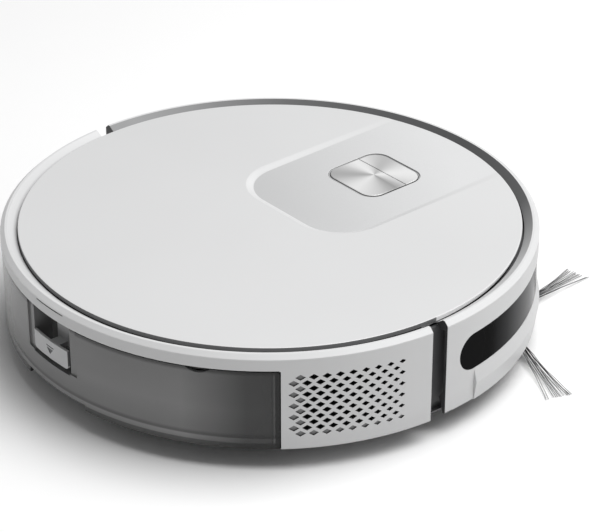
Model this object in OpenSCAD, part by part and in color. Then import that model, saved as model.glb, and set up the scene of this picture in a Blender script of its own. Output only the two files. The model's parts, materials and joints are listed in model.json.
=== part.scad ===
// Robot vacuum cleaner, standing on its drive wheels and caster.
// Frame: +Z up from the floor plane, +Y forward, +X to the robot's right, millimetres.
// Bearings are degrees clockwise from straight ahead, seen from above.

/* [Body] */
// Outer radius of the body wall
body_r = 162.5; // [162:0.5:164]
// Height of the rim round the lid
rim_top = 75.7; // [75.5:0.1:76.5]
// Lower edge of the side wall
wall_bottom = 14.5; // [14:0.5:15]
// Height of the flat underside
base_bottom = 10; // [9.5:0.25:10.25]
// Thickness of the outer shells
shell_t = 2.4; // [2.2:0.1:2.6]

/* [Lid] */
// Radius of the lid panel
lid_r = 152.1; // [151.5:0.1:152.3]
// Half the width of the control recess
recess_half = 48; // [44:1:52]
// Rear edge of the control recess
recess_rear = 9; // [6:1:14]
// Depth of the recess at its rear edge
recess_depth = 2.2; // [1.6:0.1:2.4]
// Half the side of the square control bezel
bezel_half = 23.4; // [23.2:0.1:24]
// Centre of the control keys, ahead of the body's centre
keys_y = 84; // [80:1:88]

/* [Bumper] */
// Bearing of each end of the bumper
bumper_end = 91.7; // [91:0.1:92.5]
// Lower edge of the sensor window
window_low = 36.2; // [35:0.2:38]
// Upper edge of the sensor window
window_high = 60.2; // [58:0.2:61]

/* [Casing] */
// Bearing of the casing's front ends, behind the bumper gap
casing_front = 95.4; // [95:0.1:96]
// Bearing of the casing's edge beside the dustbin
casing_rear = 127.6; // [127.5:0.1:127.8]
// Lower edge of the band over the dustbin
band_bottom = 66; // [65.8:0.1:66.5]

/* [Wheels] */
// Radius of the drive tyres
tyre_r = 32.5; // [32:0.1:32.5]
// Distance from the centre line to the middle of a tyre
wheel_x = 116.5; // [116:0.1:117]
// Radius of the caster wheel
caster_r = 11.5; // [11.3:0.1:11.5]
// Distance of the caster's swivel ahead of the centre
caster_y = 116; // [114:0.5:117]

/* [Brushes] */
// Radius over the main brush's bristles
brush_r = 19.4; // [18.5:0.1:19.5]
// Distance of the side brush hubs from the centre line
side_brush_x = 97; // [96:0.5:98]
// Distance of the side brush hubs ahead of the centre
side_brush_y = 103.4; // [102.5:0.1:104]
// Reach of the side brush bristles
side_brush_r = 84; // [80:1:84]

/* [Hidden] */
$fn = 96;

// vertical layout
base_top = base_bottom + 2.5;       // upper face of the base plate
lid_top = rim_top - 1;              // the rim stands 1 mm proud of the lid
lid_bottom = lid_top - 2.7;
deck_top = rim_top - 4.2;           // deck under the lid, also the groove's floor
deck_bottom = deck_top - 2.2;
wall_in = body_r - shell_t;         // inner face of the casing wall
chassis_r = 153;                    // dark inner wall behind the bumper
bay_y = -70;                        // rear face of the dustbin bay's front wall
bay_half = 132;                     // half the bay's width, over its side walls
grille_columns = 18;                // half-columns of lozenges, and their bearings and heights
grille_front = 102.45;
grille_step = 1.316;
grille_low = 24.4;
grille_pitch = 7.38;

// dustbin
bin_r = body_r - 0.3;
bin_half = 128.6;
bin_front = -72;
bin_bottom = wall_bottom + 0.2;
bin_top = band_bottom - 0.8;
bin_floor = 19.2;
bin_t = 2.2;
latch_bearing = 180.7;              // middle of the latch and its finger pocket
pocket_half = 6.4;                  // half angle of the finger pocket
step_half = 8.5;                    // half angle of the shallow step round the pocket
pocket_floor = 33.5;
pocket_r = 150;                     // rear face of the finger pocket
latch_half = 5.9;                   // half angle of the latch tab
latch_foot = 37;                    // lower and upper edges of the latch tab
latch_top = 48.9;

// main brush and its gear train, as [y, z] of each shaft
roller = [-44, 20.2];
roller_half = 76;                   // half the length of the brush
gear_module = 0.7;
roller_teeth = 24;
idler_teeth = 36;
pinion_teeth = 12;
idler_dir = 25;                     // direction from the roller's shaft to the idler's
pinion_dir = -10;                   // direction from the idler's shaft to the pinion's
idler = roller
    + gear_module * (roller_teeth + idler_teeth) / 2 * [cos(idler_dir), sin(idler_dir)];
pinion = idler
    + gear_module * (idler_teeth + pinion_teeth) / 2 * [cos(pinion_dir), sin(pinion_dir)];
gear_x = -86;                       // middle of the gear train
gear_w = 4;
chamber_low_x = -80;                // left wall of the brush chamber
chamber_high_x = 86;

// drive wheel module, described for the right-hand side
tyre_w = 17;
axle_r = 3;
running = 0.06;                     // radial clearance of a shaft in its bore
wheel_z = tyre_r;
arm_pivot = [30, 28];               // y and z of the suspension pivot
housing_x = [93, 130];
housing_y = [-40, 44];
housing_top = 68.5;

// caster
caster_trail = 7;
caster_z = caster_r;

// fan
fan_x = 34;
fan_y = -36;
fan_low = 46;
fan_high = 67;
fan_r = 30;

// revolves its children's profile from bearing b0 to bearing b1
module sweep(b0, b1) {
    rotate([0, 0, 90 - b1]) rotate_extrude(angle = b1 - b0) children();
}

// places its children at a radius and bearing, with their +Y pointing outwards
module place(r, b, z = 0) {
    rotate([0, 0, -b]) translate([0, r, z]) children();
}

module both_sides() {
    children();
    mirror([1, 0, 0]) children();
}

module tube(r_out, r_in, h) {
    difference() {
        cylinder(r = r_out, h = h);
        translate([0, 0, -1]) cylinder(r = r_in, h = h + 2);
    }
}

module bar_x(x0, x1, r, y, z) {
    translate([x0, y, z]) rotate([0, 90, 0]) cylinder(r = r, h = x1 - x0);
}

module box(low, high) {
    translate(low) cube(high - low);
}

// square with rounded corners, centred
module round_square(half_x, half_y, r) {
    square([2 * half_x, 2 * (half_y - r)], center = true);
    square([2 * (half_x - r), 2 * half_y], center = true);
    for (x = [-1, 1], y = [-1, 1])
        translate([x * (half_x - r), y * (half_y - r)]) circle(r = r);
}

// closed coil spring seen as a ribbed sleeve of turns, along +Z
module coil(length, r, wire, turns) {
    pitch = (length - wire) / turns;
    tube_points = [
        for (i = [0:turns]) each [
            [r, i * pitch],
            [r, i * pitch + wire],
            if (i < turns) [r - wire * 0.45, i * pitch + (pitch + wire) / 2],
        ],
    ];
    rotate_extrude() polygon(concat(tube_points, [[r - wire, length], [r - wire, 0]]));
}

// spur gear outline, first tooth at the angle first
module gear_outline(teeth, first) {
    pitch_r = gear_module * teeth / 2;
    tip_r = pitch_r + 0.8 * gear_module;
    root_r = pitch_r - 1.15 * gear_module;
    step = 360 / teeth;
    polygon([
        for (i = [0:teeth - 1]) each [
            for (c = [[root_r, -0.34], [pitch_r, -0.2], [tip_r, -0.09],
                      [tip_r, 0.09], [pitch_r, 0.2], [root_r, 0.34]])
                c[0] * [cos(first + (i + c[1]) * step), sin(first + (i + c[1]) * step)],
        ],
    ]);
}

// turns an outline drawn in y and z into a solid from x0 to x1
module along_x(x0, x1) {
    translate([x0, 0, 0]) rotate([90, 0, 90]) linear_extrude(x1 - x0) children();
}

// D-shaped plan of the dustbin, inset all round
module bin_plan(inset) {
    intersection() {
        circle(r = bin_r - inset);
        translate([-bin_half + inset, -bin_r - 1])
            square([2 * (bin_half - inset), bin_r + 1 + bin_front - inset]);
    }
}

// ---------- fixed body ----------

module base_chassis() {
    color([0.16, 0.16, 0.17]) difference() {
        union() {
            rotate_extrude() polygon([
                [0, base_bottom], [147, base_bottom], [156.5, wall_bottom - 0.2],
                [156.5, wall_bottom + 0.8], [150, base_top], [0, base_top],
            ]);
            // wall behind the bumper
            sweep(-97, 97) translate([chassis_r - shell_t, base_top - 0.5])
                square([shell_t, deck_bottom - base_top + 0.2]);
            // bay for the dustbin
            box([-bay_half, bay_y, base_top - 1], [bay_half, bay_y + 2.1, deck_bottom - 0.3]);
            both_sides()
                box([bay_half - 2, -83, base_top - 1], [bay_half, bay_y + 1, deck_bottom - 0.3]);
            // chamber over the main brush
            box([chamber_low_x - 2, -69, base_top - 1], [chamber_high_x + 2, -20, 43]);
            // bosses for the circuit board
            for (x = [-62, 62], y = [26, 92])
                translate([x, y, base_top - 1]) cylinder(r = 3.5, h = 35.5);
        }
        // the dustbin slides over the rear edge
        box([-bay_half + 2.2, -170, base_top], [bay_half - 2.2, bay_y, base_top + 5]);
        // plungers of the bumper switches
        for (b = [-38, 38]) place(chassis_r - 4, b, 31.5) translate([-2.5, 0, 0]) cube([5, 6, 4]);
        // inside of the brush chamber and its mouth
        box([chamber_low_x, -66, base_bottom - 1], [chamber_high_x, -22, 41]);
        // way from the brush into the dustbin, and from the dustbin to the fan
        box([-58, bay_y - 1, 17], [58, -65, 36]);
        box([16, bay_y - 1, 48], [52, bay_y + 5, 61]);
        // shaft of the roller gear
        bar_x(chamber_low_x - 3, chamber_low_x + 1, 4, roller[0], roller[1]);
        // gearbox seen through the floor of the tray
        box([-91, -57, base_bottom - 1], [-81.9, -31, base_top + 1]);
        // drive wheels
        both_sides()
            box([housing_x[0] + 2.5, -36, base_bottom - 1], [housing_x[1] - 2.5, 38, base_top + 1]);
        // caster socket and side brush shafts
        translate([0, caster_y, base_bottom - 1]) cylinder(r = 21.7, h = 5);
        both_sides() translate([side_brush_x, side_brush_y, base_bottom - 1])
            cylinder(r = 5, h = 5);
        // battery bay
        box([-44, 6, base_bottom - 1], [44, 84, base_top + 1]);
        // cliff sensor windows
        for (b = [-62, -20, 20, 62])
            place(139, b, base_bottom - 1) cylinder(r = 5.05, h = 5);
        // charging contacts
        for (x = [-32, 32]) box([x - 9.05, 93.95, base_bottom - 1], [x + 9.05, 100.05, base_top + 1]);
    }
}

// lozenge through the wall, or a blind dimple of the same outline
module grille_hole(b, z, half, through) {
    place(through ? body_r - 4 : body_r - 0.9, b, z) rotate([-90, 0, 0]) linear_extrude(6)
        polygon([[half, 0], [0, 0.64 * half], [-half, 0], [0, -0.64 * half]]);
}

module upper_casing() {
    slope_in = lid_r + 0.6;
    color([0.93, 0.93, 0.93]) difference() {
        union() {
            // rim, and wall down to the base with a lip at its foot
            sweep(casing_front, 360 - casing_front) polygon([
                [149, deck_bottom], [149, deck_top], [slope_in, deck_top],
                [slope_in + 5.5, rim_top], [body_r - 2.7, rim_top], [body_r, rim_top - 2.4],
                [body_r, wall_bottom], [157, wall_bottom], [157, wall_bottom + shell_t],
                [wall_in, wall_bottom + shell_t], [wall_in, deck_bottom],
            ]);
            // return at the front end of each side
            both_sides()
                sweep(casing_front + 0.1, casing_front + 0.9)
                    translate([chassis_r + 1, wall_bottom + 1.2])
                        square([wall_in - chassis_r, deck_bottom - 0.2 - wall_bottom]);
            // deck under the lid
            translate([0, 0, deck_bottom + 0.3]) cylinder(r = 150, h = deck_top - deck_bottom - 0.6);
        }
        // only the band crosses above the dustbin
        sweep(casing_rear, 360 - casing_rear) translate([152, wall_bottom - 1])
            square([14, band_bottom + 1 - wall_bottom]);
        // room for the sunk part of the lid and the keys
        box([-58, 2, deck_bottom - 1], [58, 122, deck_top + 1]);
        // exhaust grille: staggered lozenges that grow towards the rear, blind at its rear and
        // lower edges
        both_sides() for (i = [0:grille_columns - 1], j = [0:5]) if (i % 2 == 0 || j < 5)
            grille_hole(
                grille_front + i * grille_step,
                grille_low + grille_pitch * (j + (i % 2) / 2),
                2.1 + i * 0.055,
                i < grille_columns - 2 && !(i % 2 == 0 && j == 0)
            );
        // room for the dustbin's straight sides
        box([-bin_half - 0.6, -112, wall_bottom - 2], [bin_half + 0.6, bay_y, band_bottom - 0.4]);
        // engraved line over the latch
        place(body_r - 0.5, 180, rim_top - 4) translate([-13, 0, 0]) cube([26, 2, 0.7]);
    }
}

// plan of the control recess, open towards the front
module recess_plan(grow) {
    r = 27 + grow;
    half = recess_half + grow;
    rear = recess_rear - grow;
    translate([-half, rear + r]) square([2 * half, 140 - rear]);
    translate([-half + r, rear]) square([2 * (half - r), 2 * r]);
    for (s = [-1, 1]) translate([s * (half - r), rear + r]) circle(r = r);
}

module lid_panel() {
    slope = atan(recess_depth / (lid_r - recess_rear - 8));
    color([0.88, 0.88, 0.88]) difference() {
        union() {
            rotate_extrude() polygon([
                [0, lid_bottom + 0.3], [150, lid_bottom + 0.3], [151, lid_top - 1.2],
                [lid_r, lid_top - 1.2], [lid_r, lid_top - 0.5], [lid_r - 0.5, lid_top],
                [0, lid_top],
            ]);
            // tray under the control recess
            translate([0, 0, lid_top - recess_depth - 2]) linear_extrude(recess_depth + 1)
                intersection() {
                    recess_plan(2);
                    translate([-60, 0]) square([120, 120]);
                }
        }
        // sloping floor of the recess, level with the lid at the front edge
        translate([0, recess_rear, lid_top - recess_depth]) rotate([slope, 0, 0])
            translate([0, -recess_rear, 0]) linear_extrude(6) recess_plan(0);
        // opening for the keys
        translate([0, keys_y, lid_bottom - 8]) linear_extrude(20)
            round_square(bezel_half + 0.1, bezel_half + 0.1, 10.8);
    }
}

module control_bezel() {
    color([0.75, 0.75, 0.76]) difference() {
        union() {
            translate([0, keys_y, lid_bottom - 6]) linear_extrude(lid_top - 1.6 - lid_bottom + 6)
                round_square(bezel_half, bezel_half, 10.7);
            // posts that carry the circuit board
            for (x = [-17, 17], y = [-17, 17])
                translate([x, keys_y + y, lid_bottom - 10.4]) cylinder(r = 2, h = 5);
        }
        translate([0, keys_y, lid_bottom - 4.8]) linear_extrude(20)
            round_square(bezel_half - 0.9, bezel_half - 0.9, 9.8);
        // light pipes and switch plungers pass here
        for (y = [-10, 14]) translate([0, keys_y + y, lid_bottom - 8]) cylinder(r = 2, h = 5);
    }
}

// one of the two metal keys, cut from the same rounded square at the split line
module key(rear) {
    split = keys_y + 6.8;
    cap_half = bezel_half - 1.3;
    intersection() {
        translate([0, keys_y, 0]) union() {
            translate([0, 0, lid_top - 3.4]) linear_extrude(2.4)
                round_square(cap_half, cap_half, 9.4);
            translate([0, rear ? -10 : 14, lid_bottom - 5.4]) cylinder(r = 1.6, h = 6);
        }
        box([-40, rear ? keys_y - 40 : split + 0.25, 50],
            [40, rear ? split - 0.25 : keys_y + 40, 90]);
    }
}

module start_key() {
    color([0.8, 0.8, 0.81]) key(true);
}

module home_key() {
    color([0.8, 0.8, 0.81]) key(false);
}

module key_board() {
    color([0.1, 0.35, 0.2]) {
        translate([0, keys_y, lid_bottom - 12]) linear_extrude(1.6) round_square(26, 26, 3);
        // tact switches under the plungers
        for (y = [-10, 14]) translate([-3, keys_y + y - 3, lid_bottom - 10.4]) cube([6, 6, 4.1]);
    }
}

module main_board() {
    color([0.1, 0.35, 0.2]) {
        difference() {
            box([-68, 20, 47], [68, 98, 48.6]);
            for (x = [-62, 62], y = [26, 92]) translate([x, y, 46]) cylinder(r = 1.6, h = 4);
        }
        // chips, capacitors and connectors
        for (c = [[-30, 50, 14, 14, 1.6], [8, 42, 10, 10, 1.4], [30, 62, 8, 12, 2],
                  [-52, 34, 8, 8, 1.2], [-8, 78, 20, 6, 5], [42, 84, 16, 6, 5]])
            translate([c[0], c[1], 48.5]) cube([c[2], c[3], c[4] + 0.1]);
        for (x = [48, 58]) translate([x, 48, 48.5]) cylinder(r = 4, h = 8);
    }
}

module battery_pack() {
    color([0.15, 0.25, 0.5]) {
        // four cells side by side under one wrap
        for (i = [0:3]) bar_x(-34, 34, 9.1, 17 + i * 18.4, base_top + 10.6);
        box([-33, 16, base_top + 2], [33, 72, base_top + 19]);
        // plug
        box([33, 38, base_top + 4], [40, 50, base_top + 12]);
    }
}

module battery_cover() {
    color([0.17, 0.17, 0.18]) difference() {
        union() {
            translate([0, 45, base_bottom]) linear_extrude(2.4) round_square(43.7, 38.7, 4);
            for (y = [20, 45, 70]) box([-40, y - 1, base_top - 0.5], [40, y + 1, base_top + 0.8]);
        }
        for (x = [-38, 38]) translate([x, 45, base_bottom - 1]) cylinder(r = 1.7, h = 5);
    }
}

module base_screws() {
    color([0.45, 0.45, 0.46]) {
        for (x = [-38, 38]) translate([x, 45, base_bottom - 0.6]) screw(1.6, 4);
        for (b = [-150, -100, -40, 40, 100, 150]) place(142, b, base_bottom - 0.6) screw(0, 0);
    }
}

// pan head with a cross slot, and a shank where one is given
module screw(shank_r, length) {
    difference() {
        cylinder(r = 2.8, h = 0.6);
        for (a = [0, 90]) rotate(a) translate([-1.8, -0.3, -1]) cube([3.6, 0.6, 1.4]);
    }
    if (shank_r > 0) translate([0, 0, 0.3]) cylinder(r = shank_r, h = length);
}

module fan_housing() {
    color([0.3, 0.3, 0.32]) difference() {
        union() {
            translate([fan_x, fan_y, fan_low]) cylinder(r = fan_r, h = fan_high - fan_low);
            // duct to the right-hand grille
            box([fan_x, -64, fan_low], [128, -46, fan_high]);
            // collar round the intake from the dustbin
            box([14, -67.8, fan_low], [54, -60, 63]);
        }
        translate([fan_x, fan_y, fan_low + 1.6]) cylinder(r = fan_r - 1.6, h = 17.8);
        box([fan_x, -62.4, fan_low + 1.6], [129, -47.6, fan_high - 1.6]);
        box([15.6, -69, fan_low + 2], [52.4, -56, 61.4]);
        // seat of the motor
        translate([fan_x, fan_y, fan_low - 1]) cylinder(r = 8.5, h = 4);
    }
}

module fan_motor() {
    color([0.6, 0.6, 0.62]) {
        translate([fan_x, fan_y, fan_low - 2.4]) cylinder(r = 8.4, h = 9);
        translate([fan_x, fan_y, fan_low]) cylinder(r = 1.5, h = 14);
    }
}

module impeller() {
    color([0.85, 0.85, 0.86]) translate([fan_x, fan_y, fan_low]) difference() {
        union() {
            translate([0, 0, 7.4]) cylinder(r = 24, h = 1.4);
            translate([0, 0, 7.4]) cylinder(r = 6, h = 8);
            for (i = [0:11]) rotate(i * 30) translate([14, -7, 8]) rotate(35)
                cube([11, 1.2, 7.5]);
        }
        translate([0, 0, 5]) cylinder(r = 1.5 + running, h = 12);
    }
}

module brush_gearbox() {
    far = [gear_x - gear_w / 2 - 2.4, gear_x + gear_w / 2 + 1.6];
    color([0.25, 0.25, 0.26]) difference() {
        along_x(far[0], far[1]) gearbox_outline(2.2);
        along_x(far[0] + 1.4, far[1] - 1.2) gearbox_outline(0.6);
        // flat underside, level with the base
        box([far[0] - 1, -70, 0], [far[1] + 1, 0, base_bottom]);
        // shafts
        bar_x(far[0] - 1, far[1] + 1, 2.5 + running, roller[0], roller[1]);
        bar_x(far[0] - 1, far[1] + 1, 1.5 + running, idler[0], idler[1]);
        bar_x(far[0] + 1, far[1] + 1, 1.5 + running, pinion[0], pinion[1]);
    }
}

// outline in y and z round the three gears
module gearbox_outline(grow) {
    tip_r = function(teeth) gear_module * (teeth / 2 + 0.8) + grow;
    translate(roller) circle(r = tip_r(roller_teeth));
    translate(idler) circle(r = tip_r(idler_teeth));
    translate(pinion) circle(r = tip_r(pinion_teeth));
    link(roller, idler, tip_r(roller_teeth) - 1);
    link(idler, pinion, tip_r(pinion_teeth) - 1);
}

// bar between two points, with half width w
module link(p, q, w) {
    d = q - p;
    translate(p) rotate(atan2(d[1], d[0])) translate([0, -w]) square([norm(d), 2 * w]);
}

module roller_gear() {
    color([0.9, 0.88, 0.8]) {
        along_x(gear_x - gear_w / 2, gear_x + gear_w / 2) translate(roller)
            gear_outline(roller_teeth, idler_dir);
        bar_x(gear_x - 4, chamber_low_x + 2.5, 2.5, roller[0], roller[1]);
    }
}

module idler_gear() {
    color([0.9, 0.88, 0.8]) {
        along_x(gear_x - gear_w / 2, gear_x + gear_w / 2) translate(idler)
            gear_outline(idler_teeth, idler_dir + 180 + 180 / idler_teeth);
        bar_x(gear_x - 4, gear_x + 3.5, 1.5, idler[0], idler[1]);
    }
}

module motor_pinion() {
    idler_step = 360 / idler_teeth;
    ahead = (idler_dir + 180 + 180 / idler_teeth - pinion_dir) % idler_step;
    first = pinion_dir + 180 - ahead * idler_teeth / pinion_teeth + 180 / pinion_teeth;
    color([0.8, 0.7, 0.35]) {
        along_x(gear_x - gear_w / 2, gear_x + gear_w / 2) translate(pinion)
            gear_outline(pinion_teeth, first);
        bar_x(gear_x + 1, gear_x + 7, 1.5, pinion[0], pinion[1]);
    }
}

module brush_motor() {
    start = gear_x + gear_w / 2 + 2;
    color([0.62, 0.62, 0.64]) difference() {
        union() {
            bar_x(start, start + 30, 10, pinion[0], pinion[1]);
            bar_x(start + 29, start + 33, 3.5, pinion[0], pinion[1]);
        }
        bar_x(start - 1, gear_x + 8, 1.5 + running, pinion[0], pinion[1]);
    }
}

module brush_guard() {
    // snap-in frame below the main brush, with stops along its mouth and two clips
    color([0.2, 0.2, 0.21]) {
        difference() {
            box([chamber_low_x - 8, -70, base_bottom - 2], [chamber_high_x + 8, -18, base_bottom]);
            box([chamber_low_x + 3, -64, base_bottom - 3], [chamber_high_x - 3, -24, base_bottom + 1]);
        }
        for (x = [-45, -15, 15, 45])
            box([x - 1, -65, base_bottom - 2], [x + 1, -62, base_bottom]);
        for (x = [-60, 60])
            box([x - 8, -21, base_bottom - 3], [x + 8, -18.5, base_bottom - 1.9]);
    }
}

module roller_bearing() {
    color([0.2, 0.2, 0.21]) difference() {
        box([chamber_high_x - 4, roller[0] - 7, roller[1] - 7],
            [chamber_high_x, roller[0] + 7, roller[1] + 7]);
        bar_x(chamber_high_x - 5, chamber_high_x - 1, 2.5 + running, roller[0], roller[1]);
    }
}

module roller_core() {
    color([0.2, 0.2, 0.22]) {
        bar_x(chamber_low_x + 2.6, roller_half + 2, 6, roller[0], roller[1]);
        bar_x(roller_half + 1, chamber_high_x - 1.5, 2.5, roller[0], roller[1]);
    }
}

// strips along the brush, every 120 degrees from the angle first
module roller_strips(first, low, high, thick) {
    for (i = [0:2]) translate([-roller_half, roller[0], roller[1]])
        rotate([first + 120 * i, 0, 0]) translate([0, low, -thick / 2])
            cube([2 * roller_half, high - low, thick]);
}

module roller_bristles() {
    color([0.12, 0.12, 0.13]) roller_strips(30, 6, brush_r, 2.6);
}

module roller_blades() {
    color([0.35, 0.55, 0.7]) roller_strips(90, 6, brush_r - 0.8, 1.6);
}

module caster_socket() {
    color([0.19, 0.19, 0.2]) translate([0, caster_y, 0]) {
        difference() {
            union() {
                translate([0, 0, base_bottom]) cylinder(r = 21.6, h = 18.5);
                translate([0, 0, 28]) cylinder(r = 6, h = 9);
            }
            translate([0, 0, base_bottom - 1]) cylinder(r = 19.8, h = 17.6);
            translate([0, 0, 20]) cylinder(r = 3 + running, h = 16);
        }
    }
}

module caster_fork() {
    color([0.24, 0.24, 0.25]) difference() {
        union() {
            translate([0, caster_y, 23.8]) cylinder(r = 13, h = 2.2);
            translate([0, caster_y, 25]) cylinder(r = 3, h = 10);
            for (x = [-8.6, 6.6]) {
                box([x, caster_y - 11.5, 9], [x + 2, caster_y + 8, 24.5]);
                bar_x(x, x + 2, 4.5, caster_y - caster_trail, caster_z);
            }
        }
        bar_x(-9, 9, 1.5 + running, caster_y - caster_trail, caster_z);
    }
}

module caster_wheel() {
    color([0.3, 0.3, 0.31]) {
        translate([0, caster_y - caster_trail, caster_z]) rotate([0, 90, 0])
            translate([0, 0, -6]) rotate_extrude() polygon([
                [0, 0], [9.5, 0], [caster_r, 2], [caster_r, 10], [9.5, 12], [0, 12],
            ]);
        bar_x(-8.4, 8.4, 1.5, caster_y - caster_trail, caster_z);
    }
}

module cliff_lenses() {
    color([0.08, 0.08, 0.1]) for (b = [-62, -20, 20, 62])
        place(139, b, base_bottom + 0.3) cylinder(r = 5, h = 4);
}

module charging_contacts() {
    color([0.8, 0.75, 0.6]) for (x = [-32, 32])
        box([x - 9, 94, base_bottom - 0.3], [x + 9, 100, base_top]);
}

module side_motor(side) {
    bearing = side * atan(side_brush_x / side_brush_y);
    hub_r = norm([side_brush_x, side_brush_y]);
    color([0.28, 0.28, 0.3]) difference() {
        union() {
            place(hub_r, bearing, base_top) cylinder(r = 8.2, h = 14);
            place(hub_r - 9.5, bearing, base_top) cylinder(r = 13, h = 14);
            place(hub_r - 14, bearing, base_top + 14) cylinder(r = 8, h = 16);
        }
        place(hub_r, bearing, base_top - 1) cylinder(r = 3 + running, h = 4);
    }
}

module side_motor_left() {
    side_motor(-1);
}

module side_motor_right() {
    side_motor(1);
}

module wheel_housing() {
    x = housing_x;
    y = housing_y;
    color([0.14, 0.14, 0.15]) difference() {
        box([x[0], y[0], base_top], [x[1], y[1], housing_top]);
        box([x[0] + 2, y[0] + 2, base_top - 1], [x[1] - 2, y[1] - 2, housing_top - 1.6]);
        bar_x(x[0] - 1, x[0] + 3, 2.5 + running, arm_pivot[0], arm_pivot[1]);
    }
}

module wheel_housing_right() {
    wheel_housing();
}

module wheel_housing_left() {
    mirror([1, 0, 0]) wheel_housing();
}

module wheel_arm() {
    x0 = housing_x[0] + 3;
    x1 = wheel_x - tyre_w / 2 - 1.5;
    color([0.3, 0.3, 0.32]) {
        bar_x(x0, x1, 6, arm_pivot[0], arm_pivot[1]);
        bar_x(x0, x1, 15, 0, wheel_z);
        along_x(x0, x1) link([0, wheel_z], arm_pivot, 5.9);
        // pivot pin and wheel axle
        bar_x(housing_x[0] + 0.2, x0 + 1, 2.5, arm_pivot[0], arm_pivot[1]);
        bar_x(x1 - 1, wheel_x + 5.5, axle_r, 0, wheel_z);
    }
}

module wheel_arm_right() {
    wheel_arm();
}

module wheel_arm_left() {
    mirror([1, 0, 0]) wheel_arm();
}

module wheel_hub() {
    w = tyre_w - 1;
    color([0.22, 0.22, 0.23]) translate([wheel_x, 0, wheel_z]) rotate([0, 90, 0]) difference() {
        translate([0, 0, -w / 2]) cylinder(r = 24.5, h = w);
        // dished outer face with lightening pockets
        translate([0, 0, w / 2 - 3]) tube(21, 8, 4);
        for (i = [0:5]) rotate(i * 60) translate([14.5, 0, w / 2 - 9]) cylinder(r = 4.2, h = 10);
        translate([0, 0, -w / 2 - 1]) cylinder(r = axle_r + running, h = w - 1);
    }
}

module wheel_hub_right() {
    wheel_hub();
}

module wheel_hub_left() {
    mirror([1, 0, 0]) wheel_hub();
}

module wheel_tyre() {
    lugs = 28;
    color([0.1, 0.1, 0.1]) translate([wheel_x, 0, wheel_z]) rotate([0, 90, 0]) difference() {
        translate([0, 0, -tyre_w / 2]) tube(tyre_r, 24.5, tyre_w);
        // grooves across each shoulder, half a step apart
        for (i = [0:lugs - 1], s = [0, 1]) rotate((i + s / 2) * 360 / lugs)
            translate([tyre_r - 1.6, -1.1, s == 0 ? -tyre_w : 1.5]) cube([4, 2.2, tyre_w - 1.5]);
    }
}

module wheel_tyre_right() {
    wheel_tyre();
}

module wheel_tyre_left() {
    mirror([1, 0, 0]) wheel_tyre();
}

// pushes the arm down from the housing's roof
module suspension_spring() {
    color([0.7, 0.7, 0.72]) translate([wheel_x - 14.8, 0, wheel_z + 15])
        coil(housing_top - 1.6 - wheel_z - 15, 3.4, 0.8, 8);
}

module suspension_spring_right() {
    suspension_spring();
}

module suspension_spring_left() {
    mirror([1, 0, 0]) suspension_spring();
}

module bumper_switches() {
    color([0.12, 0.12, 0.13]) for (b = [-38, 38]) place(chassis_r - shell_t - 0.4, b, 30) {
        translate([-8, -9, 0]) cube([16, 9, 7]);
        // plunger through the wall, touched by the bumper when it moves
        translate([-2, -1, 2]) cube([4, 8, 3]);
    }
}

module bumper_spring(b) {
    color([0.7, 0.7, 0.72]) place(chassis_r, b, 66) rotate([-90, 0, 0])
        coil(body_r - shell_t - 0.2 - chassis_r, 2.6, 0.6, 5);
}

module bumper_spring_left() {
    bumper_spring(-24);
}

module bumper_spring_right() {
    bumper_spring(24);
}

module sensor_board() {
    color([0.1, 0.35, 0.2]) {
        sweep(-66, 66) translate([chassis_r + 0.2, 42]) square([1.2, 16]);
        // infrared emitters and receivers
        for (b = [-60:15:60]) place(chassis_r + 1.3, b, 50) rotate([-90, 0, 0])
            cylinder(r = 2.2, h = 1.7);
    }
}

module exhaust_screens() {
    color([0.05, 0.05, 0.05]) both_sides()
        sweep(100.6, 124) translate([wall_in - 3.2, 20]) square([2.4, 45]);
}

// ---------- bumper ----------

module bumper_shell() {
    crease = 27;
    bulge = 2;
    color([0.93, 0.93, 0.93]) difference() {
        union() {
            sweep(-bumper_end, bumper_end) polygon([
                [lid_r + 1.5, deck_top], [lid_r + 6.1, rim_top], [body_r - 2.7, rim_top],
                [body_r, rim_top - 2.4], [body_r, wall_bottom + 1.2], [body_r - 1.2, wall_bottom],
                [wall_in, wall_bottom], [wall_in, deck_bottom], [lid_r + 3.4, deck_bottom],
            ]);
            // skirt that stands out along the lower edge
            sweep(-83.5, 83.5) polygon([
                [body_r - 1, crease + 13], [body_r + bulge, crease],
                [body_r + 0.5, wall_bottom + 0.7], [body_r - 1, wall_bottom + 0.5],
            ]);
            // feet of the wall at both ends
            both_sides() sweep(bumper_end - 0.9, bumper_end - 0.1) polygon([
                [156.4, 24], [body_r - 1, 31], [body_r - 1, wall_bottom + 1],
                [wall_in - 0.4, wall_bottom + 1],
            ]);
        }
        // slot for the sensor window, with round ends
        sensor_slot(wall_in - 1, body_r + 2, 0);
    }
}

// long pill through the wall, from radius r0 to r1
module sensor_slot(r0, r1, shrink) {
    half = (window_high - window_low) / 2;
    middle = (window_high + window_low) / 2;
    end = 88 - half / body_r * 180 / PI;
    sweep(-end, end) translate([r0, window_low + shrink])
        square([r1 - r0, 2 * (half - shrink)]);
    for (s = [-1, 1]) place(r0 * cos(6), s * end, middle) rotate([-90, 0, 0])
        cylinder(r = half - shrink, h = r1 - r0 * cos(6) + 1);
}

module sensor_window() {
    color([0.03, 0.03, 0.035]) intersection() {
        sensor_slot(wall_in - 1, body_r + 1, 0.12);
        sweep(-90, 90) translate([wall_in - 0.2, window_low - 1])
            square([shell_t - 0.1, window_high - window_low + 2]);
    }
}

// ---------- dustbin ----------

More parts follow.
